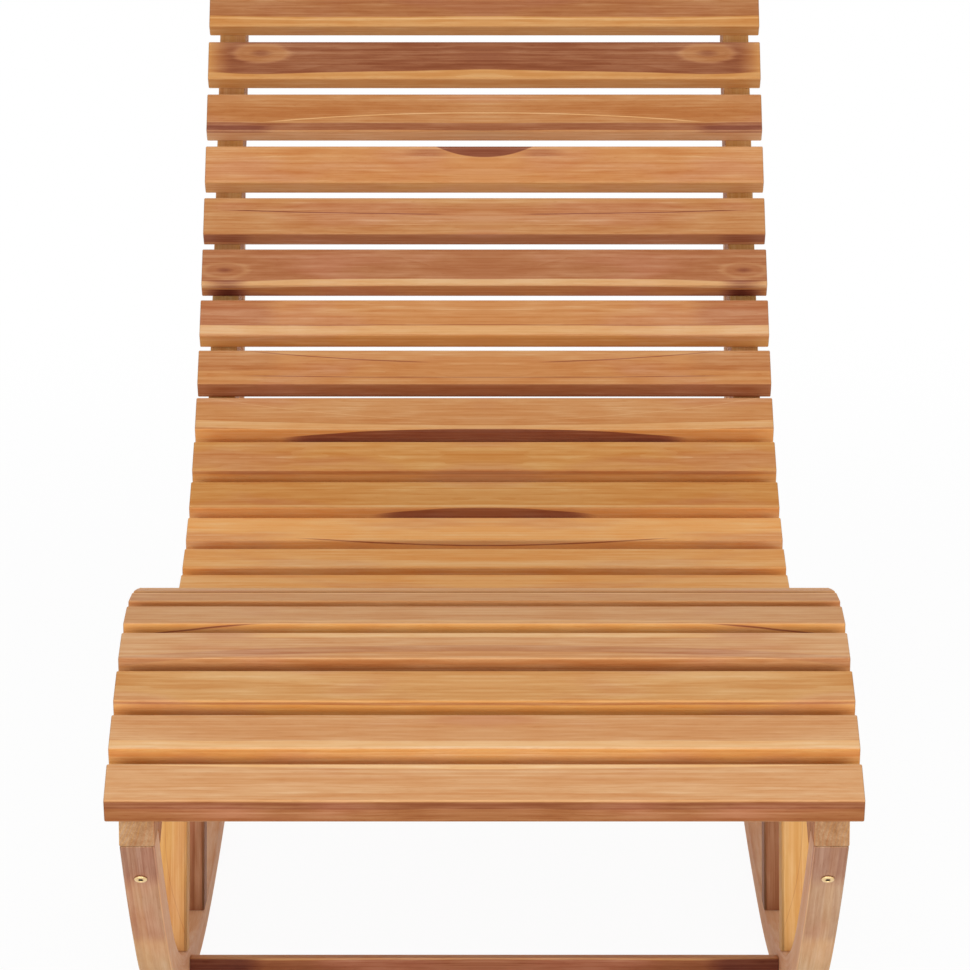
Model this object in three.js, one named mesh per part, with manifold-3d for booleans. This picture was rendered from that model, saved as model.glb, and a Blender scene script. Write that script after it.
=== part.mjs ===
// Rocking chaise lounge in oiled hardwood: thirty slats on two S-shaped side rails,
// carried by two bent runners, six posts and two cross stretchers.
// Sizes are in millimetres and turns in degrees. The foot end faces -Y, +Z is up.
// Each side piece is drawn in side view, with x towards the head end and y up, and the
// whole drawing is then turned so that its depth runs along X.

import * as THREE from 'three';
import Module from 'manifold-3d';
import { mergeVertices } from 'three/addons/utils/BufferGeometryUtils.js';

const wasm = await Module();
wasm.setup();

// Slats
const slatLength = 600;
const slatWidth = 47;
const slatThickness = 22;
const slatRounding = 2;
const slatPitch = 66;
const slatCount = 30;

// Side rails
const railThickness = 28;
const railDepth = 68;
const railInset = 11;
const railEndSet = 5;
const railHeelRadius = 26;
const railEdgeRounding = 2.5;
const seatMargin = 3;

// The lounging line along the tops of the slats, from the foot end to the head end:
// lead, knee, seat, hollow and back, each one an arc
const loungeStartAngle = 25;
const loungeRunShares = [0.111, 0.086, 0.181, 0.403, 0.219];
const loungeTurns = [-11.3, -24, -13.4, 66.4, 10.6];

// Runners, along their outer edge from the foot end: front arm, front bend, sweep,
// floor stretch, rear sweep, rear bend and rear arm. A runner spans the whole lounging
// line, so its length is a share of it.
const runnerLengthShare = 1.0487;
const runnerStartAngle = -44.5;
const runnerRunShares = [0.1144, 0.1138, 0.1854, 0.144, 0.0686, 0.2472, 0.1266];
const runnerTurns = [8, 23, 11.5, 4, 8, 56, 8];
const floorArc = 3;
const runnerArmDepth = 35;
const runnerFloorDepth = 26;
const runnerFloorHalf = 200;
const runnerTaperLength = 360;
const runnerTipThickness = 8;
const runnerStep = 28;
const endBlockHeight = 23.2;

// Posts between rail and runner, placed along the lounging line
const postWidth = 42;
const postRounding = 3;
const postNames = ['front', 'middle', 'rear'];
const postRunShares = [0.281, 0.426, 0.684];

// Cross stretchers between the runners, at the feet of the front and rear posts
const stretcherNames = ['front', 'rear'];
const stretcherWidth = 26;
const stretcherThickness = 22;
const stretcherPostGap = 2;
const stretcherDrop = 2.8;

// Connector bolts through the runner arms into the rails
const boltHeadRadius = 5.25;
const boltHeadHeight = 1.8;
const boltHeadDome = 0.7;
const boltShankRadius = 3;
const boltGrip = 38;
const boltTipClearance = 2;
const boltFrontDrop = 56;
const boltRearShare = 0.45;
const socketWidth = 4;
const socketDepth = 3;

// Fits
const gap = 0.3;
const overrun = 5;

const roundSteps = 2;
const notchSteps = 6;
const heelSteps = 5;
const boltSides = 24;
const socketSides = 6;

const loungeRun = (slatCount - 1) * slatPitch + slatWidth;
const runnerLength = loungeRun * runnerLengthShare;
const railInnerX = slatLength / 2 - railInset - railThickness;
const railMiddleX = railInnerX + railThickness / 2;
const railUnderDepth = slatThickness + railDepth;

const slatWood = new THREE.MeshStandardMaterial({ color: '#c79059', roughness: 0.62, metalness: 0 });
const frameWood = new THREE.MeshStandardMaterial({ color: '#bd8a5e', roughness: 0.64, metalness: 0 });
const brass = new THREE.MeshStandardMaterial({ color: '#c9a45c', roughness: 0.35, metalness: 1 });

// A line of tangent arcs. point(run, below) gives the place at that distance along it,
// moved square to the line by below, and the heading there.
function arcLine(start, startAngle, length, runShares, turns) {
  const pieces = [];
  let { x, y } = start;
  let heading = THREE.MathUtils.degToRad(startAngle);
  let begin = 0;
  for (const [index, share] of runShares.entries()) {
    const run = length * share;
    const bend = THREE.MathUtils.degToRad(turns[index]) / run;
    pieces.push({ begin, bend, x, y, heading });
    const end = along({ begin, bend, x, y, heading }, run);
    ({ x, y, heading } = end);
    begin += run;
  }
  const point = (run, below = 0) => {
    const piece = pieces.findLast((each) => each.begin <= run) ?? pieces[0];
    const place = along(piece, run - piece.begin);
    return {
      x: place.x + below * Math.sin(place.heading),
      y: place.y - below * Math.cos(place.heading),
      heading: place.heading,
    };
  };
  return { point, total: begin };
}

function along(piece, distance) {
  const half = piece.bend * distance / 2;
  const chord = half === 0 ? distance : distance * Math.sin(half) / half;
  return {
    x: piece.x + chord * Math.cos(piece.heading + half),
    y: piece.y + chord * Math.sin(piece.heading + half),
    heading: piece.heading + 2 * half,
  };
}

// The value between low and high where measure passes from negative to positive
function crossing(measure, low, high) {
  const halvings = 50;
  for (let step = 0; step < halvings; step += 1) {
    const middle = (low + high) / 2;
    if (measure(middle) < 0) {
      low = middle;
    } else {
      high = middle;
    }
  }
  return (low + high) / 2;
}

function spread(from, to, count) {
  return Array.from({ length: count + 1 }, (_, index) => from + (to - from) * index / count);
}

const footEnd = { x: 0, y: 0 };
const loungeLine = arcLine(footEnd, loungeStartAngle, loungeRun, loungeRunShares, loungeTurns);

const railTopFront = loungeLine.point(railEndSet, slatThickness);
const armTop = { x: railTopFront.x, y: railTopFront.y - endBlockHeight };
const runnerLine = arcLine(armTop, runnerStartAngle, runnerLength, runnerRunShares, runnerTurns);
const beforeFloorShare = runnerRunShares.slice(0, floorArc).reduce((sum, share) => sum + share, 0);
const floorRun = runnerLength * (beforeFloorShare + runnerRunShares[floorArc] / 2);

// The runner is slender along the floor and fuller in its arms
function runnerDepth(run) {
  const away = Math.abs(run - floorRun) - runnerFloorHalf;
  const fullness = THREE.MathUtils.smoothstep(away, 0, runnerTaperLength);
  return THREE.MathUtils.lerp(runnerFloorDepth, runnerArmDepth, fullness);
}

function runnerInside(run, extra = 0) {
  return runnerLine.point(run, -runnerDepth(run) - extra);
}

// Heights of the rail's and the runner's under edges above a place along the lounge
function railUnderAt(x) {
  const run = crossing((value) => loungeLine.point(value, railUnderDepth).x - x, -railDepth, loungeRun);
  return loungeLine.point(run, railUnderDepth).y;
}

function runnerUnderAt(x) {
  const run = crossing((value) => runnerLine.point(value).x - x, 0, runnerLine.total);
  return runnerLine.point(run).y;
}

const shoulderRun = crossing((run) => armTop.y - runnerInside(run).y, 0, 3 * runnerArmDepth);

function underRail(run, lift) {
  const place = runnerLine.point(run, -lift);
  return place.y - railUnderAt(place.x);
}

const runnerOuterMeet = crossing((run) => underRail(run, 0), floorRun, runnerLine.total);
const runnerInnerMeet = crossing((run) => underRail(run, runnerDepth(run)), floorRun, runnerLine.total);
const runnerEndRun = crossing((run) => underRail(run, runnerTipThickness), floorRun, runnerLine.total);

// Solids and geometries
function solidOf(geometry) {
  const bare = geometry.index ? geometry : geometry.clone();
  bare.deleteAttribute('normal');
  bare.deleteAttribute('uv');
  const merged = mergeVertices(bare);
  return new wasm.Manifold(new wasm.Mesh({
    numProp: 3,
    vertProperties: new Float32Array(merged.attributes.position.array),
    triVerts: new Uint32Array(merged.index.array),
  }));
}

function geometryOf(solid) {
  const mesh = solid.getMesh();
  const geometry = new THREE.BufferGeometry();
  geometry.setAttribute('position', new THREE.BufferAttribute(new Float32Array(mesh.vertProperties), 3));
  geometry.setIndex(new THREE.BufferAttribute(new Uint32Array(mesh.triVerts), 1));
  geometry.computeVertexNormals();
  return geometry;
}

// An outline in side view, given a thickness across the lounge, centred on middle
function board(points, middle, thickness, rounding = 0) {
  const outline = new THREE.Shape(points.map(({ x, y }) => new THREE.Vector2(x, y)));
  const geometry = new THREE.ExtrudeGeometry(outline, {
    depth: thickness - 2 * rounding,
    bevelEnabled: rounding > 0,
    bevelThickness: rounding,
    bevelSize: rounding,
    bevelOffset: -rounding,
    bevelSegments: 1,
  });
  return geometry.translate(0, 0, middle - thickness / 2 + rounding);
}

function roundedSection(width, height, radius) {
  const outline = new THREE.Shape();
  const right = width / 2 - radius;
  const top = height / 2 - radius;
  const quarter = Math.PI / 2;
  outline.absarc(right, top, radius, 0, quarter);
  outline.absarc(-right, top, radius, quarter, 2 * quarter);
  outline.absarc(-right, -top, radius, 2 * quarter, 3 * quarter);
  outline.absarc(right, -top, radius, 3 * quarter, 4 * quarter);
  return outline;
}

function bar(width, height, radius, length, endRounding) {
  const geometry = new THREE.ExtrudeGeometry(roundedSection(width, height, radius), {
    depth: length - 2 * endRounding,
    curveSegments: roundSteps,
    bevelEnabled: endRounding > 0,
    bevelThickness: endRounding,
    bevelSize: endRounding,
    bevelOffset: -endRounding,
    bevelSegments: 1,
  });
  return geometry.translate(0, 0, endRounding - length / 2);
}

// Side rails: the top edge is flat under each slat
function railOutline(grow) {
  const topDepth = slatThickness - grow;
  const underDepth = railUnderDepth + grow;
  const seatRuns = [];
  for (let index = 0; index < slatCount; index += 1) {
    const begin = index * slatPitch;
    seatRuns.push(Math.max(begin - seatMargin, railEndSet));
    seatRuns.push(Math.min(begin + slatWidth + seatMargin, loungeRun - railEndSet));
  }
  const lastRun = loungeRun - railEndSet;
  const top = seatRuns.map((run) => loungeLine.point(run, topDepth));
  const heelRun = lastRun - railHeelRadius;
  const heelDepth = underDepth - railHeelRadius;
  const heel = spread(0, Math.PI / 2, heelSteps).map((turn) => loungeLine.point(
    heelRun + railHeelRadius * Math.cos(turn),
    heelDepth + railHeelRadius * Math.sin(turn),
  ));
  const under = seatRuns.filter((run) => run < heelRun - overrun)
    .reverse()
    .map((run) => loungeLine.point(run, underDepth));
  return [...top, ...heel, ...under, { x: armTop.x, y: armTop.y - endBlockHeight }];
}

// What the runner's front arm takes out of the rail: all below its shoulder and in front of it
function armNotch() {
  const runs = spread(shoulderRun, shoulderRun + 2 * railDepth, notchSteps);
  const inside = runs.map((run) => runnerInside(run, gap));
  const shoulder = { x: inside[0].x, y: armTop.y + gap };
  const front = armTop.x - railDepth;
  return [shoulder, ...inside.slice(1), { x: front, y: inside.at(-1).y }, { x: front, y: shoulder.y }];
}

// The facet that the lounge rests on is centred in the floor stretch
function runnerOutline(grow) {
  const restRun = floorRun - runnerStep / 2;
  const frontSteps = Math.round(restRun / runnerStep);
  const rearSteps = Math.floor((runnerEndRun - restRun) / runnerStep) - 1;
  const outsideRuns = [
    ...spread(0, restRun, frontSteps),
    ...spread(restRun, restRun + rearSteps * runnerStep, rearSteps).slice(1),
    runnerEndRun,
  ];
  const outside = outsideRuns.map((run) => runnerLine.point(run, grow));
  const insideSteps = frontSteps + rearSteps;
  const inside = spread(runnerEndRun, shoulderRun, insideSteps).map((run) => runnerInside(run, grow));
  return [...outside, ...inside];
}

// Bolts lie square to the runner arms, their heads on the outer faces
const boltRuns = {
  front: boltFrontDrop,
  rear: THREE.MathUtils.lerp(runnerInnerMeet, runnerOuterMeet, boltRearShare),
};

function boltSeat(end) {
  const place = runnerLine.point(boltRuns[end]);
  return { place, turn: place.heading };
}

function boltDepthInRunner(end) {
  const run = boltRuns[end];
  if (end === 'front') {
    return runnerDepth(run);
  }
  return crossing((lift) => underRail(run, lift), 0, runnerArmDepth);
}

function boltLength(end) {
  return boltDepthInRunner(end) + boltGrip;
}

function boreCutter(end, middle) {
  const { place, turn } = boltSeat(end);
  const depth = boltLength(end) + boltTipClearance;
  const cutter = new THREE.CylinderGeometry(
    boltShankRadius + gap,
    boltShankRadius + gap,
    depth + overrun,
    boltSides,
  );
  cutter.translate(0, (depth - overrun) / 2, 0);
  cutter.rotateZ(turn);
  cutter.translate(place.x, place.y, middle);
  return solidOf(cutter);
}

function boltGeometry(end) {
  const length = boltLength(end);
  const tip = boltShankRadius / 3;
  const profile = [
    new THREE.Vector2(0, length),
    new THREE.Vector2(boltShankRadius - tip, length),
    new THREE.Vector2(boltShankRadius, length - tip),
    new THREE.Vector2(boltShankRadius, -gap),
    new THREE.Vector2(boltHeadRadius, -gap),
    new THREE.Vector2(boltHeadRadius, -gap - boltHeadHeight + boltHeadDome),
    new THREE.Vector2(boltHeadRadius - boltHeadDome, -gap - boltHeadHeight),
    new THREE.Vector2(0, -gap - boltHeadHeight),
  ];
  const body = new THREE.LatheGeometry(profile.reverse(), boltSides);
  const socket = new THREE.CylinderGeometry(
    socketWidth / 2,
    socketWidth / 2,
    socketDepth + overrun,
    socketSides,
  );
  socket.translate(0, -gap - boltHeadHeight + (socketDepth - overrun) / 2, 0);
  return geometryOf(solidOf(body).subtract(solidOf(socket)));
}

function postRun(name) {
  return loungeRun * postRunShares[postNames.indexOf(name)];
}

// How far square below the lounging line the runner's middle lies
function postReach(run) {
  return crossing((below) => {
    const place = loungeLine.point(run, below);
    return runnerUnderAt(place.x) - place.y;
  }, railUnderDepth, 10 * railUnderDepth) - runnerFloorDepth / 2;
}

function postBlank(run, middle) {
  const begin = slatThickness + railDepth / 2;
  const length = postReach(run) - begin;
  const geometry = bar(postWidth, railThickness, postRounding, length, 0);
  const { x, y, heading } = loungeLine.point(run, begin + length / 2);
  const lengthwise = new THREE.Vector3(Math.sin(heading), -Math.cos(heading), 0);
  const across = new THREE.Vector3(Math.cos(heading), Math.sin(heading), 0);
  const turn = new THREE.Matrix4().makeBasis(
    across,
    new THREE.Vector3().crossVectors(lengthwise, across),
    lengthwise,
  );
  return geometry.applyMatrix4(turn).translate(x, y, middle);
}

// The run along the runner that a post's face stands on
function postFootRun(run, side) {
  const edge = run + side * postWidth / 2;
  const foot = loungeLine.point(edge, postReach(run));
  return crossing((value) => runnerLine.point(value).x - foot.x, 0, runnerLine.total);
}

const sideView = new THREE.Group();
sideView.quaternion.setFromRotationMatrix(new THREE.Matrix4().makeBasis(
  new THREE.Vector3(0, 1, 0),
  new THREE.Vector3(0, 0, 1),
  new THREE.Vector3(1, 0, 0),
));

function addPiece(name, geometry, material) {
  const mesh = new THREE.Mesh(geometry, material);
  mesh.name = name;
  sideView.add(mesh);
  return mesh;
}

function addSlats() {
  for (let index = 0; index < slatCount; index += 1) {
    const begin = Math.max(index * slatPitch - seatMargin, railEndSet);
    const end = Math.min(index * slatPitch + slatWidth + seatMargin, loungeRun - railEndSet);
    const front = loungeLine.point(begin, slatThickness);
    const rear = loungeLine.point(end, slatThickness);
    const turn = Math.atan2(rear.y - front.y, rear.x - front.x);
    const centre = loungeLine.point(index * slatPitch + slatWidth / 2, slatThickness);
    const reach = (centre.x - front.x) * Math.cos(turn) + (centre.y - front.y) * Math.sin(turn);
    const lift = gap + slatThickness / 2;
    const geometry = bar(slatWidth, slatThickness, slatRounding, slatLength, slatRounding / 2);
    const slat = addPiece(`slat_${String(index + 1).padStart(2, '0')}`, geometry, slatWood);
    slat.position.set(
      front.x + reach * Math.cos(turn) - lift * Math.sin(turn),
      front.y + reach * Math.sin(turn) + lift * Math.cos(turn),
      0,
    );
    slat.rotation.z = turn;
  }
}

function addSide(side, sign) {
  const middle = sign * railMiddleX;
  const wide = railThickness + 2 * overrun;
  const railRoom = solidOf(board(railOutline(gap), middle, wide));
  const runnerRoom = solidOf(board(runnerOutline(gap), middle, wide));
  const bores = ['front', 'rear'].map((end) => boreCutter(end, middle));

  const notch = solidOf(board(armNotch(), middle, wide));
  const rail = solidOf(board(railOutline(0), middle, railThickness, railEdgeRounding));
  const boredRail = rail.subtract(notch).subtract(bores[0]).subtract(bores[1]);
  addPiece(`side_rail_${side}`, geometryOf(boredRail), frameWood);

  const runner = solidOf(board(runnerOutline(0), middle, railThickness, railEdgeRounding));
  const notchedRailRoom = railRoom.subtract(notch);
  const boredRunner = runner.subtract(notchedRailRoom).subtract(bores[0]).subtract(bores[1]);
  addPiece(`runner_${side}`, geometryOf(boredRunner), frameWood);

  for (const name of postNames) {
    const blank = solidOf(postBlank(postRun(name), middle));
    const post = blank.subtract(railRoom).subtract(runnerRoom);
    addPiece(`${name}_post_${side}`, geometryOf(post), frameWood);
  }

  for (const end of ['front', 'rear']) {
    const { place, turn } = boltSeat(end);
    const bolt = addPiece(`${end}_bolt_${side}`, boltGeometry(end), brass);
    bolt.position.set(place.x, place.y, middle);
    bolt.rotation.z = turn;
  }
}

// Each stretcher is a bar that lies flat between the runners, beside a post's foot on the
// side that faces the middle post
function addStretchers() {
  for (const name of stretcherNames) {
    const side = Math.sign(postRun('middle') - postRun(name));
    const footRun = postFootRun(postRun(name), side);
    const run = footRun + side * (stretcherPostGap + stretcherWidth / 2);
    const length = 2 * (railInnerX - gap);
    const geometry = bar(stretcherWidth, stretcherThickness, slatRounding, length, 0);
    const place = runnerLine.point(run, stretcherDrop - runnerDepth(run) / 2);
    const stretcher = addPiece(`${name}_stretcher`, geometry, frameWood);
    stretcher.position.set(place.x, place.y, 0);
    stretcher.rotation.z = place.heading;
  }
}

addSlats();
addSide('left', -1);
addSide('right', 1);
addStretchers();

// The origin is under the middle of the lounge, on the floor
const lounge = new THREE.Group();
lounge.add(sideView);
lounge.updateMatrixWorld(true);
const box = new THREE.Box3().setFromObject(lounge, true);
const centre = box.getCenter(new THREE.Vector3());
sideView.position.set(-centre.x, -centre.y, -box.min.z);

export default lounge;
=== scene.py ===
import math
import random

import bmesh
import bpy
from mathutils import Matrix, Vector


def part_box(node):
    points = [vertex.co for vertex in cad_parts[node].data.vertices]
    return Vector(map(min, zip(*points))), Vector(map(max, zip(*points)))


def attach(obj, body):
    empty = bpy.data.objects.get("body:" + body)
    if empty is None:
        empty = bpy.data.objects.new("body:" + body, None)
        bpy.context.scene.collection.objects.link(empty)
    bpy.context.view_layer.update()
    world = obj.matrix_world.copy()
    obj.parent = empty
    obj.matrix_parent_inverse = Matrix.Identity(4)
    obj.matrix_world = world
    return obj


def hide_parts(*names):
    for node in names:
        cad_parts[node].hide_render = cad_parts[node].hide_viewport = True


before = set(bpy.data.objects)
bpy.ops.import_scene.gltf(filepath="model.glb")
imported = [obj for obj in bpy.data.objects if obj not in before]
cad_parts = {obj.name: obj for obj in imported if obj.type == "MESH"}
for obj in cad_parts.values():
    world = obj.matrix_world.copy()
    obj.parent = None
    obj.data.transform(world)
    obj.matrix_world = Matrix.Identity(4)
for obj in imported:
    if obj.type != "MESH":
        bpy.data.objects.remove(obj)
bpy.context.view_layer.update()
chance = random.Random(30)

# Sizes in metres, where the part's source has millimetres. In side view a place is
# (towards the head end, up).

SLAT_COUNT = 30
SLAT_SIZE = Vector((0.6, 0.047, 0.022))
SLAT_ROUNDING = 0.0022
SLAT_PITCH = 0.066
SEAT_MARGIN = 0.003
GAP = 0.0003
SIDES = {"left": -1, "right": 1}

RAIL_THICKNESS = 0.028
RAIL_DEPTH = 0.068
RAIL_MIDDLE = 0.275
RAIL_END_SET = 0.005
RAIL_HEEL = 0.026
RAIL_HEEL_STEPS = 6
END_BLOCK = 0.0232
NOTCH_SHARE = 0.74
EDGE_ROUNDING = 0.0026
CORNER_ANGLE = 32

LOUNGE_RUN = (SLAT_COUNT - 1) * SLAT_PITCH + SLAT_SIZE.y
LOUNGE_SHARES = (0.111, 0.086, 0.181, 0.403, 0.219)
LOUNGE_TURNS = (-11.3, -24, -13.4, 66.4, 10.6)
LOUNGE_ANGLE = 25

RUNNER_LENGTH = 1.0487 * LOUNGE_RUN
RUNNER_SHARES = (0.1144, 0.1138, 0.1854, 0.144, 0.0686, 0.2472, 0.1266)
RUNNER_TURNS = (8, 23, 11.5, 4, 8, 56, 8)
RUNNER_ANGLE = -44.5
ARM_DEPTH = 0.035
FLOOR_DEPTH = 0.026
FLOOR_HALF = 0.2
TAPER_LENGTH = 0.36
TIP_THICKNESS = 0.008
STATION = 0.02

POST_WIDTH = 0.042
POST_ROUNDING = 0.003
POST_SPARE = 0.1
LONGEST_POST = 0.9
POST_SHARES = {"front": 0.281, "middle": 0.426, "rear": 0.684}
STRETCHER_SIDES = {"front": 1, "rear": -1}
STRETCHER_WIDTH = 0.026
STRETCHER_THICKNESS = 0.022
STRETCHER_GAP = 0.002
STRETCHER_DROP = 0.0028

BOLT_HEAD = 0.00525
BOLT_HEIGHT = 0.0018
BOLT_SHANK = 0.003
BOLT_GRIP = 0.038
BOLT_DROP = 0.056
BOLT_REAR_SHARE = 0.45
BOLT_SIDES = 48
SOCKET = 0.002

# Outlines of a bolt's head and of its socket: shares of their own radius, and of the
# head's height, which is negative outwards
HEAD_SHARES = ((1, 0), (1, -0.4), (0.96, -0.68), (0.86, -0.88), (0.72, -1), (0.56, -1))
SOCKET_SHARES = ((1, -0.85), (0.99, -0.6), (0.98, 1.4), (0.4, 1.9))
SUNK_SHARE = -0.7
SUNK_REACH = 1.3 * SOCKET


class ArcLine:
    """Tangent arcs in side view."""

    def __init__(self, start, angle, length, shares, turns):
        self.arcs = []
        place, heading, begin = Vector(start), math.radians(angle), 0.0
        for share, turn in zip(shares, turns):
            run = length * share
            arc = (begin, begin + run, math.radians(turn) / run, place, heading)
            self.arcs.append(arc)
            place, heading = self.follow(arc, begin + run)
            begin += run

    def follow(self, arc, run):
        """The place and the heading at a run, along the arc or its circle past it."""
        begin, _, bend, place, heading = arc
        half = bend * (run - begin) / 2
        chord = (run - begin) * (math.sin(half) / half if half else 1)
        direction = Vector((math.cos(heading + half), math.sin(heading + half)))
        return place + chord * direction, heading + 2 * half

    def frame_at(self, run):
        """The place and the heading at a run along the line."""
        arc = self.arcs[0]
        for later in self.arcs[1:]:
            if later[0] <= run:
                arc = later
        return self.follow(arc, run)

    def at(self, run, below=0.0):
        """The place at a run along the line, or square below it."""
        place, heading = self.frame_at(run)
        return place + below * Vector((math.sin(heading), -math.cos(heading)))

    def locate(self, place):
        """The run of a place, and how far below the line it lies."""
        found = []
        for begin, end, bend, start, heading in self.arcs:
            side = math.copysign(1, bend)
            centre = start + Vector((-math.sin(heading), math.cos(heading))) / bend
            spoke = place - centre
            turned = math.atan2(side * spoke.x, -side * spoke.y) - heading
            turned = (turned + math.pi) % (2 * math.pi) - math.pi
            run = begin + turned / bend
            below = side * spoke.length - 1 / bend
            found.append((math.hypot(max(begin - run, run - end, 0), below), run, below))
        return min(found)[1:]

    def move(self, step):
        self.arcs = [(b, e, bend, place + step, h) for b, e, bend, place, h in self.arcs]


HALVINGS = 50


def crossing(measure, low, high):
    """Where measure passes from negative to positive."""
    for _ in range(HALVINGS):
        middle = (low + high) / 2
        if measure(middle) < 0:
            low = middle
        else:
            high = middle
    return (low + high) / 2


def stations(begin, end, spacing):
    """Runs from begin to end, evenly set and about spacing apart."""
    count = max(1, round((end - begin) / spacing))
    return [begin + (end - begin) * i / count for i in range(count + 1)]


lounge = ArcLine((0, 0), LOUNGE_ANGLE, LOUNGE_RUN, LOUNGE_SHARES, LOUNGE_TURNS)
arm_top = lounge.at(RAIL_END_SET, SLAT_SIZE.z) - Vector((0, END_BLOCK))
runner = ArcLine(arm_top, RUNNER_ANGLE, RUNNER_LENGTH, RUNNER_SHARES, RUNNER_TURNS)
FLOOR_RUN = RUNNER_LENGTH * (sum(RUNNER_SHARES[:3]) + RUNNER_SHARES[3] / 2)

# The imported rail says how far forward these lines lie, and the floor how high
shift = Vector((
    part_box("side_rail_left")[0].y - arm_top.x,
    -runner.at(FLOOR_RUN).y,
))
lounge.move(shift)
runner.move(shift)
arm_top += shift


def runner_depth(run):
    """The runner is thin over the floor stretch, and deeper towards both arms."""
    share = min(max((abs(run - FLOOR_RUN) - FLOOR_HALF) / TAPER_LENGTH, 0), 1)
    return FLOOR_DEPTH + (ARM_DEPTH - FLOOR_DEPTH) * share * share * (3 - 2 * share)


def into_runner(place):
    """How far a place lies under the runner's upper edge."""
    run, below = runner.locate(place)
    return below + runner_depth(run)


def rail_under(place):
    """How far a place lies under the rail's lower edge."""
    return lounge.locate(place)[1] - SLAT_SIZE.z - RAIL_DEPTH


def runner_under(place):
    """How far a place lies under the runner's lower edge."""
    return runner.locate(place)[1]


SHOULDER_RUN = crossing(
    lambda run: arm_top.y - runner.at(run, -runner_depth(run)).y, 0, 3 * ARM_DEPTH
)
INNER_MEET = crossing(
    lambda run: -rail_under(runner.at(run, -runner_depth(run))), FLOOR_RUN, RUNNER_LENGTH
)
OUTER_MEET = crossing(lambda run: -rail_under(runner.at(run)), FLOOR_RUN, RUNNER_LENGTH)
END_RUN = crossing(
    lambda run: -rail_under(runner.at(run, -TIP_THICKNESS)), FLOOR_RUN, RUNNER_LENGTH
)


def wedge_depth(run):
    """How deep the runner is where it lies against the rail."""
    return crossing(lambda lift: -rail_under(runner.at(run, -lift)), 0, 2 * ARM_DEPTH)


# Finishes

class Field:
    """A number that varies over a surface. Sums written with it add Math nodes."""

    def __init__(self, finish, socket):
        self.finish = finish
        self.socket = socket

    def sum(self, operation, *values):
        return self.finish.sum(operation, *values)

    def __add__(self, other):
        return self.sum("ADD", self, other)

    def __sub__(self, other):
        return self.sum("SUBTRACT", self, other)

    def __rsub__(self, other):
        return self.sum("SUBTRACT", other, self)

    def __mul__(self, other):
        return self.sum("MULTIPLY", self, other)

    def __truediv__(self, other):
        return self.sum("DIVIDE", self, other)

    def __pow__(self, other):
        return self.sum("POWER", self, other)

    def __mod__(self, other):
        return self.sum("FLOORED_MODULO", self, other)

    def __abs__(self):
        return self.sum("ABSOLUTE", self)

    __radd__ = __add__
    __rmul__ = __mul__

    def between(self, low, high):
        """0 below low, 1 above high, and smooth between them."""
        settings = {"interpolation_type": "SMOOTHSTEP"}
        return self.finish.node("MapRange", settings, {0: self, 1: low, 2: high})


class Finish:
    """Adds the nodes of a material or a world one by one."""

    def __init__(self, owner):
        owner.use_nodes = True
        self.owner = owner
        self.tree = owner.node_tree
        self.tree.nodes.clear()

    def node(self, kind, settings=None, sockets=None, output=0):
        made = self.tree.nodes.new("ShaderNode" + kind)
        for key, value in (settings or {}).items():
            setattr(made, key, value)
        for key, value in (sockets or {}).items():
            if isinstance(value, Field):
                self.tree.links.new(value.socket, made.inputs[key])
            else:
                made.inputs[key].default_value = value
        return Field(self, made.outputs[output]) if made.outputs else None

    def attribute(self, name):
        return self.node("Attribute", {"attribute_name": name}, output="Vector")

    def level(self, name):
        return self.node("Attribute", {"attribute_name": name}, output="Fac")

    def parts(self, vector):
        return [self.node("SeparateXYZ", None, {0: vector}, output=i) for i in range(3)]

    def vector(self, x, y, z):
        return self.node("CombineXYZ", None, {0: x, 1: y, 2: z})

    def sum(self, operation, *values):
        return self.node("Math", {"operation": operation}, dict(enumerate(values)))

    def noise(self, vector, detail=2.0, roughness=0.5):
        sockets = {"Vector": vector, "Scale": 1.0, "Detail": detail, "Roughness": roughness}
        return self.node("TexNoise", None, sockets)

    def mix(self, factor, first, second, blend="MIX"):
        settings = {"data_type": "RGBA", "blend_type": blend, "clamp_factor": True}
        return self.node("Mix", settings, {0: factor, 6: first, 7: second}, output=2)

    def scaled(self, vector, factor):
        return self.node("VectorMath", {"operation": "SCALE"}, {0: vector, "Scale": factor})

    def gamma(self, colour, power):
        """The darker the greater the power, and the deeper where the colour is weak."""
        return self.node("Gamma", None, {0: colour, 1: power})

    def surface(self, sockets):
        shader = self.node("BsdfPrincipled", None, sockets)
        self.node("OutputMaterial", None, {0: shader})
        return self.owner

    def seen(self):
        """1 for what the camera sees, also in a reflection, and 0 for the light itself."""
        rays = ("Is Camera Ray", "Is Glossy Ray", "Is Transmission Ray")
        camera, glossy, clear = [self.node("LightPath", output=name) for name in rays]
        return camera + glossy + clear


def tint(red, green, blue):
    """A colour as a painter mixes it, from 0 to 255, made linear."""
    shares = [value / 255 for value in (red, green, blue)]
    return (*[s / 12.92 if s <= 0.04045 else ((s + 0.055) / 1.055) ** 2.4 for s in shares], 1.0)


MILLIMETRE = 0.001
TINY = 0.01 * MILLIMETRE
STREAKS = 3
STREAK_BLUR = 1.3 * MILLIMETRE
STREAK_BEGIN = (-20 * MILLIMETRE, 8 * MILLIMETRE)
STREAK_STOP = (-20 * MILLIMETRE, 14 * MILLIMETRE)
RING_WIDTH = 3.1 * MILLIMETRE
KNOT_HEIGHT_SHARE = 0.4
MIRROR_BLUR = 0.0002

# How far the marks and the rings sway, and over what breadth a corner blends and is rubbed
MARK_WAVE = 7 * MILLIMETRE
MARK_RIPPLE = 1.6 * MILLIMETRE
RING_WAVE = 20 * MILLIMETRE
RING_RIPPLE = 4 * MILLIMETRE
CORNER_BLEND = (-0.8 * MILLIMETRE, 0.4 * MILLIMETRE)
RUBBED_BREADTH = (0.4 * MILLIMETRE, 2.2 * MILLIMETRE)

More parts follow.
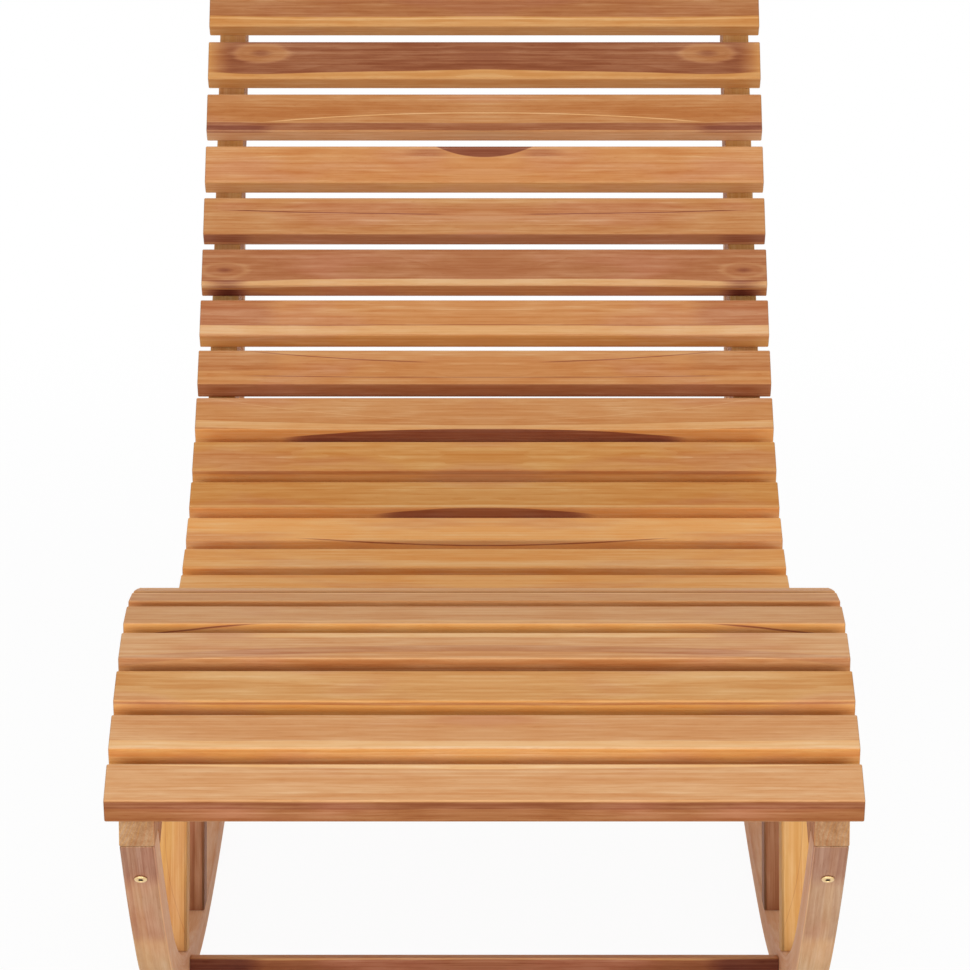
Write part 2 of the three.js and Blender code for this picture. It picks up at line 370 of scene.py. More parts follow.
# A face is cut across the grain if a step off it leads this share of the step lengthwise
STEP_OFF = 10 * TINY
LENGTHWISE_SHARE = 0.7

# Tones of the wood, and how a dark mark stains them. The palest tone and the stain also serve
# the streaks that paint highlight and shade.
HONEY = tint(204, 147, 87)
GOLD = tint(208, 144, 76)
TAN = tint(206, 151, 101)
STRAW = tint(226, 160, 92)
BUTTER = tint(215, 154, 84)
OCHRE = tint(202, 138, 82)
AMBER = tint(186, 124, 72)
RUSSET = tint(173, 111, 70)
UMBER = tint(151, 94, 53)
CREAM = tint(238, 173, 104)
# Paler than the runner's wood: it paints the sheen along the runners' inner sides
BISCUIT_AND_SHEEN = tint(228, 180, 140)
OATMEAL = tint(178, 137, 104)
WHEAT = tint(214, 163, 98)
WALNUT = tint(150, 99, 67)
SAPWOOD_AND_HIGHLIGHT = tint(240, 194, 136)
ROSE = tint(194, 128, 98)
END_CUT = tint(164, 124, 88)
DARK_STAIN_AND_SHADE = tint(146, 110, 128)


class Board:
    """Where a point of a wooden piece lies in its board, and the grain of the wood there.
    Each point knows its place, and each board its marks, most of them found by the saw and a
    few painted shade and highlight: see cut_from_log. In a straight board they are their own
    mirror image about its middle."""

    def __init__(self, finish):
        self.finish = finish
        x, self.across, self.through = finish.parts(finish.attribute("board"))
        self.width, self.thickness, _ = finish.parts(finish.attribute("stock"))
        self.seed, pith_across, pith_through = finish.parts(finish.attribute("pith"))
        knot_along, knot_place, knot_size = finish.parts(finish.attribute("knot"))
        self.along = (x * x + MIRROR_BLUR) ** 0.5

        # A mark keeps its distance from the front corner, over the face and down the edge
        self.round_corner = self.across + self.through
        wave = self.waver(3, 16) - 0.5
        ripple = self.waver(14, 70) - 0.5
        place = self.round_corner + wave * MARK_WAVE + ripple * MARK_RIPPLE
        aside = (self.along - knot_along) * KNOT_HEIGHT_SHARE
        from_knot = (aside * aside + (place - knot_place) ** 2 + 1e-8) ** 0.5
        self.bowed = knot_place + (place - knot_place) * from_knot / (from_knot + knot_size)

        # Rings round a pith that wanders
        across = self.across + self.bowed - self.round_corner
        side = across - pith_across + wave * RING_WAVE
        rise = self.through - pith_through + ripple * RING_RIPPLE
        radius = (side * side + rise * rise) ** 0.5
        spread = finish.vector(radius * 60 + self.seed, self.along * 0.9, self.seed)
        self.breadth = finish.noise(spread, 3.0, 0.6)
        self.late = ((radius / RING_WIDTH + self.breadth * 4.0) % 1) ** 2.2

        # Fibres, pores and slow drifts of colour
        self.fibre = self.grain(16, 900, 3.0, 0.6)
        self.vein = self.grain(5, 260, 3.0, 0.6, seeds=-1)
        self.drift = self.grain(5, 30, 3.0, 0.55, seeds=3)
        self.mottle = self.grain(26, 170, seeds=-1)
        self.pore = self.grain(90, 1700).between(0.6, 0.7)

        # How far from the knot, where 1 is its rim, with a ragged outline
        ragged = 0.6 + self.vein * 0.5 + self.mottle * 0.3
        self.from_knot = from_knot / (knot_size + TINY) * ragged

    def grain(self, lengthwise, crosswise, detail=2.0, roughness=0.5, seeds=1):
        """Noise in the wood, finer the greater the two numbers."""
        along = self.along * lengthwise + self.seed * seeds
        place = self.finish.vector(along, self.across * crosswise, self.through * crosswise)
        return self.finish.noise(place, detail, roughness)

    def waver(self, lengthwise, crosswise, seeds=1, depth=1):
        """Noise that runs on round the front corner, from the face down the edge."""
        along = self.along * lengthwise + self.seed * seeds
        place = self.finish.vector(along, self.round_corner * crosswise, self.seed * depth)
        return self.finish.noise(place)


def marked(board):
    """The board's colour with its knot and its streaks."""
    finish = board.finish

    # The edge is another cut through the log than the face. On the runners the pale face tone
    # also paints the sheen along their inner sides.
    under = finish.sum("MINIMUM", 1.0, board.through * -1 / board.thickness)
    corner = board.round_corner + (board.bowed - board.round_corner) * under * 3
    colour = finish.mix(
        corner.between(*CORNER_BLEND),
        finish.attribute("edge_tone"),
        finish.attribute("face_tone"),
    )
    blush = board.waver(7, 22, seeds=-1, depth=2)
    colour = finish.mix(blush.between(0.48, 0.7) * 0.35, colour, ROSE)

    # A knot has a dark core and a pale rim, and dark marks are weaker in it
    dark = 0.3 - board.from_knot.between(0.05, 0.5) * 0.3
    rim = board.from_knot.between(0.7, 0.95) - board.from_knot.between(0.95, 1.25)
    colour = finish.mix(rim * (board.breadth - 0.3), colour, SAPWOOD_AND_HIGHLIGHT)
    open_wood = 0.5 + board.from_knot.between(0.8, 1.2) * 0.5
    # Streaks darken or pale the wood; a few of them are painted shade and painted highlight
    for number in range(STREAKS):
        middle, half, bend = finish.parts(finish.attribute(f"streak_{number}_path"))
        tone, begin, stop = finish.parts(finish.attribute(f"streak_{number}_look"))
        inside = half - abs(board.bowed - middle - board.along * board.along * bend)
        reach = (board.along - begin).between(*STREAK_BEGIN)
        reach = reach * (stop - board.along).between(*STREAK_STOP)
        mark = (inside / STREAK_BLUR).between(0.0, 1.0) * reach * tone
        mark = mark * (0.75 + board.vein * 0.5)
        colour = finish.mix(mark * -1, colour, SAPWOOD_AND_HIGHLIGHT)
        dark = dark + finish.sum("MAXIMUM", mark, 0.0) * open_wood
    return finish.mix(1.0, colour, finish.gamma(DARK_STAIN_AND_SHADE, dark), "MULTIPLY")


def oiled_teak():
    """Planed and oiled wood, paler where its edges are rubbed."""
    finish = Finish(bpy.data.materials.new("oiled teak"))
    board = Board(finish)

    # Late wood, veins and fibres are darker and redder
    grain = (board.breadth - 0.5) * 0.55 + (board.drift - 0.5) * 0.55
    grain = grain + (board.vein - 0.5) * 0.6 + (board.mottle - 0.5) * 0.4
    grain = grain + (board.fibre - 0.5) * 0.35 + board.late * 0.1 + board.pore * 0.12
    colour = finish.gamma(marked(board), 0.96 + grain)
    cut_across = finish.level("end_grain") * (1.1 - board.late * 0.5)
    colour = finish.mix(cut_across, colour, finish.gamma(END_CUT, 0.9 + grain))

    from_side = finish.sum("MINIMUM", board.across, board.width - board.across)
    from_face = finish.sum("MINIMUM", board.through * -1, board.thickness + board.through)
    from_corner = finish.sum("MAXIMUM", from_side, from_face)
    rubbed = (1 - from_corner.between(*RUBBED_BREADTH)) * board.drift.between(0.35, 0.65)
    colour = finish.mix(rubbed * 0.3, colour, SAPWOOD_AND_HIGHLIGHT)

    height = board.fibre * 0.6 - board.pore * 0.9 - board.late * 0.3
    relief = {"Strength": 0.3, "Distance": 0.4 * MILLIMETRE, "Height": height}
    return finish.surface({
        "Base Color": colour,
        "Roughness": 0.56 + board.fibre * 0.14 + board.pore * 0.12 + rubbed * 0.08,
        "Specular IOR Level": 0.16,
        "Normal": finish.node("Bump", None, relief),
    })


def satin_brass():
    """Turned brass, brushed round by the tool, and darkened and dulled down in its socket as
    painted shade.
    """
    finish = Finish(bpy.data.materials.new("satin brass"))
    depth = finish.level("socket_shade")
    stain = finish.noise(finish.scaled(finish.node("TexCoord", output="Object"), 420.0), 3.0)
    brushed = finish.noise(finish.vector(finish.level("turned") * 5200, 0.0, stain * 0.4), 2.0)
    colour = finish.mix(stain.between(0.35, 0.8) * 0.35, tint(236, 204, 150), tint(186, 140, 84))
    # Painted shade: the inside of the socket is made dark and dull
    colour = finish.mix(depth, colour, tint(34, 22, 14))
    relief = {"Strength": 0.2, "Distance": 0.1 * MILLIMETRE, "Height": brushed}
    return finish.surface({
        "Base Color": colour,
        "Metallic": 1.0 - depth * 0.6,
        "Roughness": 0.26 + brushed * 0.16 + depth * 0.3,
        "Normal": finish.node("Bump", None, relief),
    })


TEAK = oiled_teak()
BRASS = satin_brass()


# Wooden pieces

def rounded(board, radius, segments, chosen=None):
    """Eases the chosen edges, or else the outer corners."""
    if chosen is None:
        chosen = [
            e for e in board.edges
            if e.is_manifold and e.calc_face_angle_signed() > math.radians(CORNER_ANGLE)
        ]
    bmesh.ops.bevel(
        board, geom=chosen, offset=radius, segments=segments, profile=0.5,
        affect="EDGES", material=-1, clamp_overlap=True,
    )


def trimmed(board, point, normal):
    """Cuts away what lies beyond a plane, and closes the cut."""
    cut = bmesh.ops.bisect_plane(
        board, geom=board.verts[:] + board.edges[:] + board.faces[:],
        plane_co=point, plane_no=normal, clear_outer=True,
    )
    rim = [g for g in cut["geom_cut"] if isinstance(g, bmesh.types.BMEdge)]
    bmesh.ops.contextual_create(board, geom=rim)


def extruded(board, end, keep=False):
    """Grows a body from its end faces, and returns the new end faces and their corners.
    The first end face of a body is kept, as its other end."""
    grown = bmesh.ops.extrude_face_region(board, geom=end)["geom"]
    if not keep:
        bmesh.ops.delete(board, geom=[f for f in end if f.is_valid], context="FACES_ONLY")
    faces = [g for g in grown if isinstance(g, bmesh.types.BMFace)]
    return faces, [g for g in grown if isinstance(g, bmesh.types.BMVert)]


def lofted(pairs, middle):
    """A board whose upper and lower edges, in side view, pass through the pairs."""

    def placed(upper, lower):
        depth = upper - lower
        centre = (upper + lower) / 2
        return Matrix((
            (RAIL_THICKNESS, 0, 0, middle),
            (0, -depth.y, depth.x, centre.x),
            (0, depth.x, depth.y, centre.y),
            (0, 0, 0, 1),
        )) @ Matrix.Rotation(math.pi / 2, 4, "X")

    board = bmesh.new()
    bmesh.ops.create_grid(board, x_segments=1, y_segments=1, size=0.5)
    bmesh.ops.transform(board, matrix=placed(*pairs[0]), verts=board.verts)
    end = board.faces[:]
    for before, after in zip(pairs, pairs[1:]):
        end, tip = extruded(board, end, keep=before is pairs[0])
        onward = placed(*after) @ placed(*before).inverted()
        bmesh.ops.transform(board, matrix=onward, verts=tip)
    bmesh.ops.recalc_face_normals(board, faces=board.faces)
    return board


def bar(length, width, depth, rounding, end_rounding):
    """Straight stock with rounded edges, its length along X."""
    board = bmesh.new()
    bmesh.ops.create_cube(board, size=1.0)
    bmesh.ops.scale(board, vec=(length, width, depth), verts=board.verts)
    long_edges = [e for e in board.edges if abs(e.verts[0].co.x - e.verts[1].co.x) > length / 2]
    rounded(board, rounding, 4, long_edges)
    if end_rounding:
        ends = [f for f in board.faces if abs(f.normal.x) > 0.9]
        rim = [e for e in board.edges if any(f in ends for f in e.link_faces)]
        rounded(board, end_rounding, 2, rim)
    return board


class Streak:
    """A mark along a board, in millimetres: its middle's distance from the front corner,
    positive over the face and negative down the edge, half its width, its tone from -1,
    pale, to 1, dark, which is sapwood and heartwood in most marks and painted highlight and
    shade in a few, how far it rises at a slat's end, and its reach."""

    def __init__(self, place, half, tone, rise=0, begin=0, end=2500):
        bend = rise * MILLIMETRE / (SLAT_SIZE.x / 2) ** 2
        self.path = Vector((place * MILLIMETRE, half * MILLIMETRE, bend))
        self.look = Vector((tone, begin * MILLIMETRE, end * MILLIMETRE))


class Figure:
    """How a board looks: the tones of its face and its edge, and its marks. A knot is
    its distance from the middle, its place and its radius, in millimetres."""

    def __init__(self, face, edge, *streaks, knot=(0, 0, 0)):
        self.tones = {"face_tone": Vector(face[:3]), "edge_tone": Vector(edge[:3])}
        self.streaks = [*streaks, *[Streak(0, 1, 0)] * (STREAKS - len(streaks))]
        self.knot = Vector(knot) * MILLIMETRE


def cut_from_log(board, board_of, stock, figure):
    """Writes each point's place in its board, from the front corner, the board's marks,
    and which faces are cut across the grain."""
    layers = board.verts.layers
    place = layers.float_vector.new("board")
    pith = (chance.uniform(1, 40), chance.uniform(-0.05, 0.09), -chance.uniform(0.04, 0.12))
    marks = {"stock": Vector(stock), "pith": Vector(pith), "knot": figure.knot, **figure.tones}
    for number, streak in enumerate(figure.streaks):
        marks[f"streak_{number}_path"] = streak.path
        marks[f"streak_{number}_look"] = streak.look
    constant = [(layers.float_vector.new(name), value) for name, value in marks.items()]
    end = board.faces.layers.float.new("end_grain")
    board.normal_update()
    for vert in board.verts:
        vert[place] = board_of(vert.co)
        for layer, value in constant:
            vert[layer] = value
    for face in board.faces:
        centre = face.calc_center_median()
        onward = board_of(centre + face.normal * STEP_OFF).x - board_of(centre).x
        face[end] = float(abs(onward) > LENGTHWISE_SHARE * STEP_OFF)


def finished(board, name, node, material):
    """Makes the piece of a bmesh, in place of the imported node."""
    for face in board.faces:
        face.smooth = True
    mesh = bpy.data.meshes.new(name)
    board.to_mesh(mesh)
    board.free()
    mesh.materials.append(material)
    piece = bpy.data.objects.new(name, mesh)
    bpy.context.collection.objects.link(piece)
    even = piece.modifiers.new("even shading", "WEIGHTED_NORMAL")
    even.keep_sharp = True
    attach(piece, "root")
    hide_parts(node)


def side_view(co):
    """Towards the head end, and up."""
    return Vector((co.y, co.z))


# The slats that show, from the foot end, and their marks; a pale streak at a rear edge paints a
# highlight
SLAT_FIGURES = {
    # Its first streak, pale along the rear edge, is a painted highlight
    1: Figure(TAN, UMBER, Streak(43.5, 4.5, -0.6, 5), Streak(-5, 4, 0.2)),
    2: Figure(TAN, GOLD, Streak(6, 5.5, -0.5), Streak(-10, 7, -0.15, 0, 0, 150)),
    3: Figure(HONEY, BUTTER, Streak(-2, 2, 0.3), Streak(30, 9, -0.15, 20)),
    # Its first streak, pale along the rear edge, is a painted highlight
    4: Figure(TAN, AMBER, Streak(42, 5, -0.5, 0, 0, 190), Streak(18, 6, 0.12, -20)),
    5: Figure(TAN, BUTTER, Streak(5, 3, -0.4, 0, 0, 180), Streak(8, 1.2, 0.7, -21, 200)),
    # Its streak, pale along the rear edge, is a painted highlight
    6: Figure(TAN, OCHRE, Streak(42, 3, -0.5)),
    # Its streak, pale along the rear edge, is a painted highlight
    7: Figure(TAN, AMBER, Streak(40, 5, -0.4)),
    17: Figure(STRAW, STRAW, Streak(30, 8, -0.3, 0, 150)),
    18: Figure(STRAW, STRAW, Streak(10, 8, -0.35), Streak(-10, 5, -0.2, 0, 0, 80)),
    19: Figure(CREAM, CREAM, Streak(-6, 1.3, 0.6, 26, 0, 175), Streak(-2, 4, -0.5, 26, 0, 130)),
    20: Figure(GOLD, CREAM, Streak(2.5, 2.2, -0.5), Streak(-11, 12, 0.55, -62, 0, 100)),
    21: Figure(GOLD, STRAW, Streak(-3, 3, 0.15)),
    22: Figure(
        OCHRE, CREAM,
        Streak(-0.8, 6, -0.5, 8.5),
        Streak(-11.5, 11.5, 0.75, -27, 0, 195),
        Streak(11, 0.9, -0.4, 37, 60),
    ),
    23: Figure(
        OCHRE, RUSSET,
        Streak(28, 1.2, 0.5, 26, 75, 235),
        Streak(9, 1, 0.5, 2, 0, 240),
        Streak(32, 15, 0.1, 0, 225),
    ),
    24: Figure(
        OCHRE, GOLD,
        Streak(7.5, 6.5, -0.5),
        Streak(14.6, 0.9, 0.45),
        Streak(31, 17, 0.15, 0, 230),
    ),
    25: Figure(
        RUSSET, AMBER,
        Streak(5.5, 5, -0.6),
        Streak(-11, 10, 1.1, 0, 266, 284),
        Streak(6, 6, 0.45, 0, 266, 284),
        knot=(276, 19, 10),
    ),
    26: Figure(
        AMBER, RUSSET,
        Streak(25.5, 1, 1.0, 5, 60, 262),
        Streak(-9, 7, 0.35, 0, 262),
        Streak(43, 4, -0.2),
    ),
    27: Figure(OCHRE, HONEY, Streak(60, 29, 0.75, 430), Streak(38, 5, 0.2, 0, 50, 80)),
    28: Figure(
        AMBER, TAN,
        Streak(23, 1, -0.9, -19, 0, 225),
        Streak(5, 5.5, 0.4),
        Streak(1, 6, 0.35, 0, 240),
    ),
    29: Figure(HONEY, HONEY, Streak(34, 20.6, 0.6, 2, 0, 285), knot=(243, 33, 12)),
    30: Figure(HONEY, HONEY, Streak(33, 20.5, 0.3), Streak(10.5, 1.5, -0.4)),
}
HIDDEN_TONES = ((HONEY, AMBER), (GOLD, AMBER), (TAN, RUSSET), (STRAW, GOLD), (AMBER, RUSSET))


def slat_figure(number):
    if number in SLAT_FIGURES:
        return SLAT_FIGURES[number]
    streak = Streak(chance.uniform(4, 40), chance.uniform(1, 6), chance.uniform(-0.5, 0.5))
    return Figure(*chance.choice(HIDDEN_TONES), streak)


def from_corner_of(size):
    """Board coordinates of a bar along X: along it, then from its front top corner."""
    corner = Vector((0, -size.y / 2, size.z / 2))
    return lambda co: co - corner


def seat_of(index):
    """Where the rails' flat seat for a slat begins and ends."""
    begin = index * SLAT_PITCH
    front = max(begin - SEAT_MARGIN, RAIL_END_SET)
    return front, min(begin + SLAT_SIZE.y + SEAT_MARGIN, LOUNGE_RUN - RAIL_END_SET)


def make_slats():
    stock = SLAT_SIZE.yz.to_3d()
    for index in range(SLAT_COUNT):
        front, rear = (lounge.at(run, SLAT_SIZE.z) for run in seat_of(index))
        back = (rear - front).normalized()
        up = Vector((-back.y, back.x))
        middle = lounge.at(index * SLAT_PITCH + SLAT_SIZE.y / 2, SLAT_SIZE.z)
        centre = front + (middle - front).dot(back) * back + (GAP + SLAT_SIZE.z / 2) * up
        placed = Matrix((
            (1, 0, 0, 0),
            (0, back.x, up.x, centre.x),
            (0, back.y, up.y, centre.y),
            (0, 0, 0, 1),
        ))
        board = bar(*SLAT_SIZE, SLAT_ROUNDING, SLAT_ROUNDING / 2)
        cut_from_log(board, from_corner_of(SLAT_SIZE), stock, slat_figure(index + 1))
        bmesh.ops.transform(board, matrix=placed, verts=board.verts)
        node = f"slat_{index + 1:02d}"
        finished(board, f"planed_{node}", node, TEAK)


def along_line(line, sign, outer, inward):
    """Board coordinates of a bent piece: its run, then from its corner on the inner
    side, which lies at outer below the line, with the piece to inward of it."""

    def board_of(co):
        run, below = line.locate(side_view(co))
        through = RAIL_MIDDLE - RAIL_THICKNESS / 2 - sign * co.x
        return Vector((run, inward * (below - outer), through))

    return board_of


RAIL_FIGURE = Figure(AMBER, WHEAT, Streak(38, 3, 0.2), Streak(16, 6, -0.15))
# The runners' inner sides take the pale face tone, which paints a sheen
RUNNER_FIGURE = Figure(
    BISCUIT_AND_SHEEN, OATMEAL,
    Streak(-14, 19, -0.3, 0, 190, 1300),
    Streak(-18, 4, -0.1),
    # Painted shadow of the seat over the front face of the arm's top 60 mm
    Streak(-14, 19, 0.25, 0, 0, 60),
)


def make_rail(side, sign):
    upper = SLAT_SIZE.z
    lower = SLAT_SIZE.z + RAIL_DEPTH
    runs = [run for index in range(SLAT_COUNT) for run in seat_of(index)]
    front, behind = (lounge.at(run, upper) for run in runs[:2])
    shoulder = runner.at(SHOULDER_RUN, -runner_depth(SHOULDER_RUN) - GAP)
    shoulder.y = arm_top.y + GAP
    meet = crossing(
        lambda run: rail_under(runner.at(run, -runner_depth(run) - GAP)), 0, 4 * ARM_DEPTH
    )

    # The front end is notched over the runner's arm, and the head end has a round heel
    pairs = [
        (front, arm_top + Vector((0, GAP))),
        (front.lerp(behind, NOTCH_SHARE), shoulder),
        (behind, runner.at(meet, -runner_depth(meet) - GAP)),
    ]
    heel_run = runs[-1] - RAIL_HEEL
    straight = [run for run in runs[2:] if run < heel_run - SEAT_MARGIN]
    pairs += [(lounge.at(run, upper), lounge.at(run, lower)) for run in straight]
    for step in range(RAIL_HEEL_STEPS + 1):
        turn = math.pi / 2 * step / RAIL_HEEL_STEPS
        run = heel_run + RAIL_HEEL * math.sin(turn)
        heel = lower - RAIL_HEEL * (1 - math.cos(turn))
        pairs.append((lounge.at(run, upper), lounge.at(run, heel)))
    board = lofted(pairs, sign * RAIL_MIDDLE)
    rounded(board, EDGE_ROUNDING, 3)
    bmesh.ops.dissolve_degenerate(board, dist=TINY, edges=board.edges)
    stock = (RAIL_DEPTH, RAIL_THICKNESS, 0)
    cut_from_log(board, along_line(lounge, sign, upper, 1), stock, RAIL_FIGURE)
    finished(board, f"curved_side_rail_{side}", f"side_rail_{side}", TEAK)


def make_runner(side, sign):

    def depth(run):
        return runner_depth(run) if run <= INNER_MEET else wedge_depth(run) - GAP

    runs = stations(SHOULDER_RUN + STATION, INNER_MEET, STATION)
    runs += stations(INNER_MEET, END_RUN, STATION)[1:]
    pairs = [(runner.at(SHOULDER_RUN, -runner_depth(SHOULDER_RUN)), arm_top)]
    pairs += [(runner.at(run, -depth(run)), runner.at(run)) for run in runs]
    board = lofted(pairs, sign * RAIL_MIDDLE)
    rounded(board, EDGE_ROUNDING, 3)
    stock = (ARM_DEPTH, RAIL_THICKNESS, 0)
    cut_from_log(board, along_line(runner, sign, 0, -1), stock, RUNNER_FIGURE)
    finished(board, f"bent_runner_{side}", f"runner_{side}", TEAK)


POST_FIGURES = {
    "front": Figure(
        WHEAT, WHEAT,
        Streak(-19, 0.5, 0.6, 180),
        # Painted shade: a thin dark line on the front face beside the inner edge, where the
        # narrow inner side is shaded
        Streak(-1.4, 0.5, 0.5),
        Streak(-9, 3, -0.15),
    ),
    "middle": Figure(WALNUT, WALNUT, Streak(-16, 2, -0.12)),
    "rear": Figure(HONEY, AMBER, Streak(20, 2, 0.2)),
}


def post_frame(name, sign):
    """A post's place, the lounging line over it, its direction down from that line, and
    how far down its head and its foot lie."""
    run = LOUNGE_RUN * POST_SHARES[name]
    top, heading = lounge.frame_at(run)
    down = Vector((math.sin(heading), -math.cos(heading)))
    head = SLAT_SIZE.z + RAIL_DEPTH
    foot = crossing(
        lambda below: runner_under(top + below * down) + FLOOR_DEPTH, head, LONGEST_POST
    )
    centre = top + down * (head + foot) / 2
    placed = Matrix((
        (0, 0, 1, sign * RAIL_MIDDLE),
        (down.x, -down.y, 0, centre.x),
        (down.y, down.x, 0, centre.y),
        (0, 0, 0, 1),
    ))
    return placed, top, down, head, foot


def make_posts(side, sign):
    for name, figure in POST_FIGURES.items():
        placed, top, down, head, foot = post_frame(name, sign)
        board = bar(foot - head + POST_SPARE, POST_WIDTH, RAIL_THICKNESS, POST_ROUNDING, 0)
        bmesh.ops.transform(board, matrix=placed, verts=board.verts)
        run = LOUNGE_RUN * POST_SHARES[name]
        edges = [lounge.at(run + step * POST_WIDTH / 2, head + GAP) for step in (-1, 1)]
        trimmed(board, *plane_through(*edges, Vector((-down.x, -down.y))))
        feet = []
        for step in (-1, 1):
            start = top + Vector((-down.y, down.x)) * step * POST_WIDTH / 2
            reach = crossing(lambda below: into_runner(start + below * down), head, LONGEST_POST)
            feet.append(start + (reach - GAP) * down)
        trimmed(board, *plane_through(*feet, down))
        from_corner = from_corner_of(Vector((0, POST_WIDTH, RAIL_THICKNESS)))
        inner_side_up = Matrix.Scale(-sign, 4, Vector((0, 0, 1))) @ placed.inverted()
        stock = (POST_WIDTH, RAIL_THICKNESS, 0)
        cut_from_log(board, lambda co: from_corner(inner_side_up @ co), stock, figure)
        finished(board, f"planed_{name}_post_{side}", f"{name}_post_{side}", TEAK)


def plane_through(first, second, outward):
    """A plane across the lounge through two side-view places."""
    along = (second - first).normalized()
    normal = Vector((-along.y, along.x))
    if normal.dot(outward) < 0:
        normal = -normal
    return Vector((0, *first)), Vector((0, *normal))


STRETCHER_FIGURES = {
    "front": Figure(
        TAN, UMBER,
        # Painted shadow of the frame over the front face's ends, beyond 212 mm from the middle
        Streak(-11, 12, 0.7, 0, 212),
        Streak(-12, 11, 0.2, 0, 0, 215),
        # Painted highlight: a pale line along the top of the front face
        Streak(-0.5, 1.2, -0.4),
    ),
    "rear": Figure(TAN, AMBER, Streak(24, 4, 0.2)),
}


def make_stretchers():
    length = 2 * (RAIL_MIDDLE - RAIL_THICKNESS / 2 - GAP)
    for name, side in STRETCHER_SIDES.items():
        _, top, down, _, foot = post_frame(name, 1)
        corner = top + Vector((-down.y, down.x)) * side * POST_WIDTH / 2
        corner += down * (foot + FLOOR_DEPTH / 2)
        run = crossing(lambda value: runner.at(value).x - corner.x, 0, RUNNER_LENGTH)
        run += side * (STRETCHER_GAP + STRETCHER_WIDTH / 2)
        centre = runner.at(run, STRETCHER_DROP - runner_depth(run) / 2)
        heading = runner.frame_at(run)[1]
        size = Vector((length, STRETCHER_WIDTH, STRETCHER_THICKNESS))
        board = bar(*size, SLAT_ROUNDING, 0.0)
        cut_from_log(board, from_corner_of(size), size.yz.to_3d(), STRETCHER_FIGURES[name])
        placed = Matrix.Translation((0, *centre)) @ Matrix.Rotation(heading, 4, "X")
        bmesh.ops.transform(board, matrix=placed, verts=board.verts)
        finished(board, f"planed_{name}_stretcher", f"{name}_stretcher", TEAK)


# Bolts

def bolt_body(length):
    """A pan head with a hexagon socket, facing -Z, and its shank along +Z."""
    body = bmesh.new()
    bmesh.ops.create_circle(body, cap_ends=True, segments=BOLT_SIDES, radius=BOLT_SHANK)
    _, tip = extruded(body, body.faces[:], keep=True)
    bmesh.ops.translate(body, vec=(0, 0, length), verts=tip)
    rim = [e for e in body.edges if all(v.co.z > length / 2 for v in e.verts)]
    rounded(body, BOLT_SHANK / 3, 1, rim)
    base = [min(body.faces, key=lambda f: f.calc_center_median().z)]
    for radius_share, height_share in HEAD_SHARES:
        base, corners = extruded(body, base)
        for vert in corners:
            flat = radius_share * BOLT_HEAD * vert.co.xy.normalized()
            vert.co = (*flat, height_share * BOLT_HEIGHT - GAP)
    for radius_share, height_share in SOCKET_SHARES:
        base, corners = extruded(body, base)
        for vert in corners:
            angle = math.atan2(vert.co.y, vert.co.x)
            off_flat = angle % (math.pi / 3) - math.pi / 6
            radius = radius_share * SOCKET / math.cos(off_flat)
            flat = radius * Vector((math.cos(angle), math.sin(angle)))
            vert.co = (*flat, height_share * BOLT_HEIGHT - GAP)
    bmesh.ops.recalc_face_normals(body, faces=body.faces)
    # Marks the inside of the socket, where the brass paints shade
    socket_shade = body.verts.layers.float.new("socket_shade")
    turned = body.verts.layers.float.new("turned")
    for vert in body.verts:
        out = vert.co.xy.length
        inner = vert.co.z + GAP > SUNK_SHARE * BOLT_HEIGHT
        vert[socket_shade] = float(inner and out < SUNK_REACH)
        vert[turned] = out
    return body


def make_bolts(side, sign):
    runs = {
        "front": BOLT_DROP,
        "rear": INNER_MEET + (OUTER_MEET - INNER_MEET) * BOLT_REAR_SHARE,
    }
    for name, run in runs.items():
        depth = wedge_depth(run) if name == "rear" else ARM_DEPTH
        body = bolt_body(depth + BOLT_GRIP)
        place, heading = runner.frame_at(run)
        inward = Vector((-math.sin(heading), math.cos(heading)))
        placed = Matrix((
            (1, 0, 0, sign * RAIL_MIDDLE),
            (0, inward.y, inward.x, place.x),
            (0, -inward.x, inward.y, place.y),
            (0, 0, 0, 1),
        ))
        bmesh.ops.transform(body, matrix=placed, verts=body.verts)
        finished(body, f"brass_{name}_bolt_{side}", f"{name}_bolt_{side}", BRASS)


make_slats()
for side, sign in SIDES.items():
    make_rail(side, sign)
    make_runner(side, sign)
    make_posts(side, sign)
    make_bolts(side, sign)
make_stretchers()


# Floor, light and camera

WHITE = (1, 1, 1, 1)
FLOOR_TONE = (0.92, 0.92, 0.92, 1)
FLOOR_RADIUS = 40
FLOOR_GLOW = 0.95
SHADOW_FADE = (1.2, 3.0)
SKY_LIGHT = 0.58

# The camera stands in front of the foot end, above it, and looks down by the tilt. Its
# focal length and the side step of its picture are measured on the photograph.
CAMERA_AWAY = 3.9327
CAMERA_ABOVE = 1.1564
CAMERA_TILT = 12.9
PHOTO_PIXELS = 970
FOCAL_PIXELS = 5200
SIDE_STEP_PIXELS = 0.7
SENSOR_WIDTH = 36


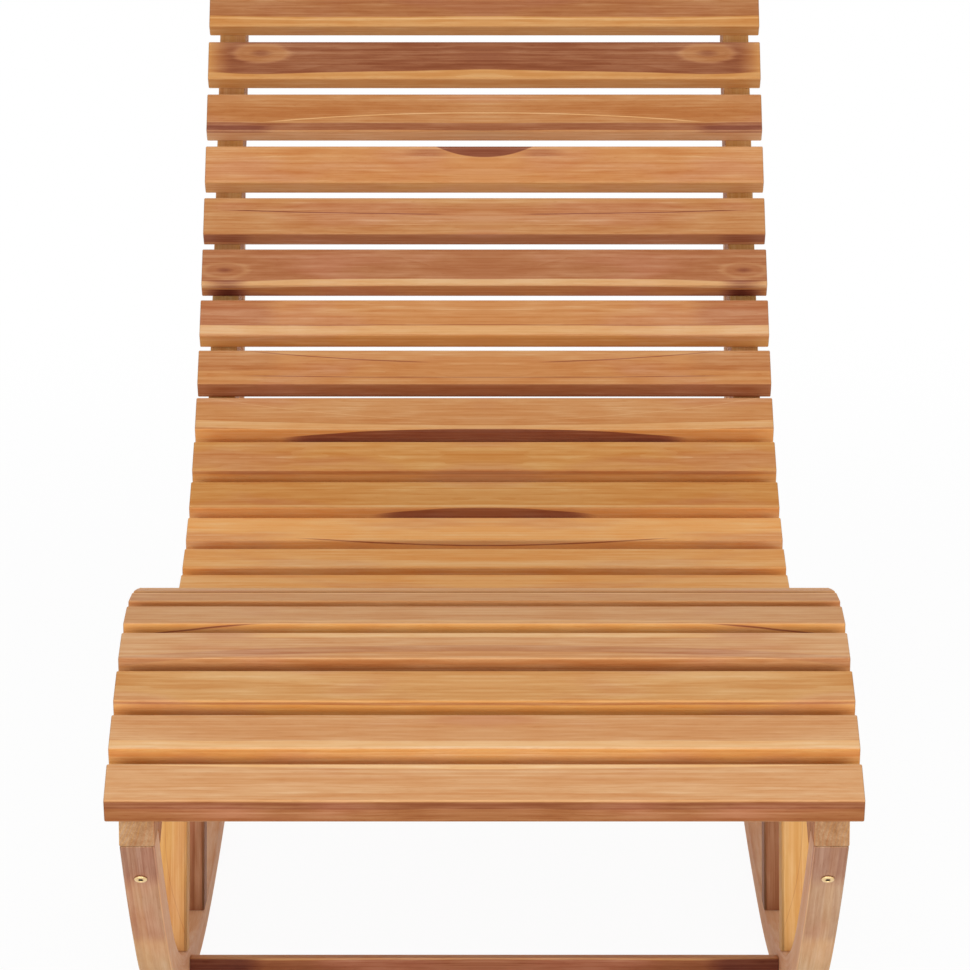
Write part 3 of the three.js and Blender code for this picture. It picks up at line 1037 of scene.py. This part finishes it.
def pale_floor():
    """White to the camera, with a soft shadow of the lounge close by."""
    finish = Finish(bpy.data.materials.new("pale floor"))
    place = finish.node("TexCoord", output="Object")
    away = finish.node("VectorMath", {"operation": "LENGTH"}, {0: place}, output="Value")
    share = FLOOR_GLOW + away.between(*SHADOW_FADE) * (1 - FLOOR_GLOW)
    diffuse = finish.node("BsdfDiffuse", None, {0: FLOOR_TONE})
    glow = finish.node("Emission", None, {0: WHITE, 1: 1.0})
    shader = finish.node("MixShader", None, {0: finish.seen() * share, 1: diffuse, 2: glow})
    finish.node("OutputMaterial", None, {0: shader})
    return finish.owner


floor_mesh = bpy.data.meshes.new("studio_floor")
sheet = bmesh.new()
bmesh.ops.create_circle(sheet, cap_ends=True, segments=96, radius=FLOOR_RADIUS)
sheet.to_mesh(floor_mesh)
sheet.free()
floor = bpy.data.objects.new("studio_floor", floor_mesh)
floor_mesh.materials.append(pale_floor())
bpy.context.collection.objects.link(floor)

world = bpy.data.worlds.new("studio")
bpy.context.scene.world = world
sky = Finish(world)
ambient = sky.node("Background", None, {0: WHITE, 1: SKY_LIGHT})
backdrop = sky.node("Background", None, {0: WHITE, 1: 1.0})
shown = sky.node("MixShader", None, {0: sky.seen(), 1: ambient, 2: backdrop})
sky.node("OutputWorld", None, {0: shown})


def add_light(name, place, aim, width, height, power):
    lamp = bpy.data.lights.new(name, "AREA")
    lamp.shape = "RECTANGLE"
    lamp.size = width
    lamp.size_y = height
    lamp.energy = power
    light = bpy.data.objects.new(name, lamp)
    light.location = place
    light.rotation_euler = (Vector(aim) - light.location).to_track_quat("-Z", "Y").to_euler()
    bpy.context.collection.objects.link(light)


add_light("overhead", (0, -0.6, 3.6), (0, 0, 0.3), width=3, height=3, power=30)
for side, sign in SIDES.items():
    place = (sign * 1.5, -4.5, 0.6)
    add_light(f"front_{side}", place, (0, -0.2, 0.5), width=2.4, height=1, power=56)

foot_edge = lounge.at(0)
camera = bpy.data.cameras.new("camera")
camera.sensor_width = SENSOR_WIDTH
camera.lens = SENSOR_WIDTH * FOCAL_PIXELS / PHOTO_PIXELS
camera.shift_x = SIDE_STEP_PIXELS / PHOTO_PIXELS
camera.clip_end = 2.5 * FLOOR_RADIUS
viewer = bpy.data.objects.new("camera", camera)
viewer.location = (0, foot_edge.x - CAMERA_AWAY, foot_edge.y + CAMERA_ABOVE)
viewer.rotation_euler = (math.radians(90 - CAMERA_TILT), 0, 0)
bpy.context.collection.objects.link(viewer)
bpy.context.scene.camera = viewer

bpy.context.scene.view_settings.view_transform = "Standard"
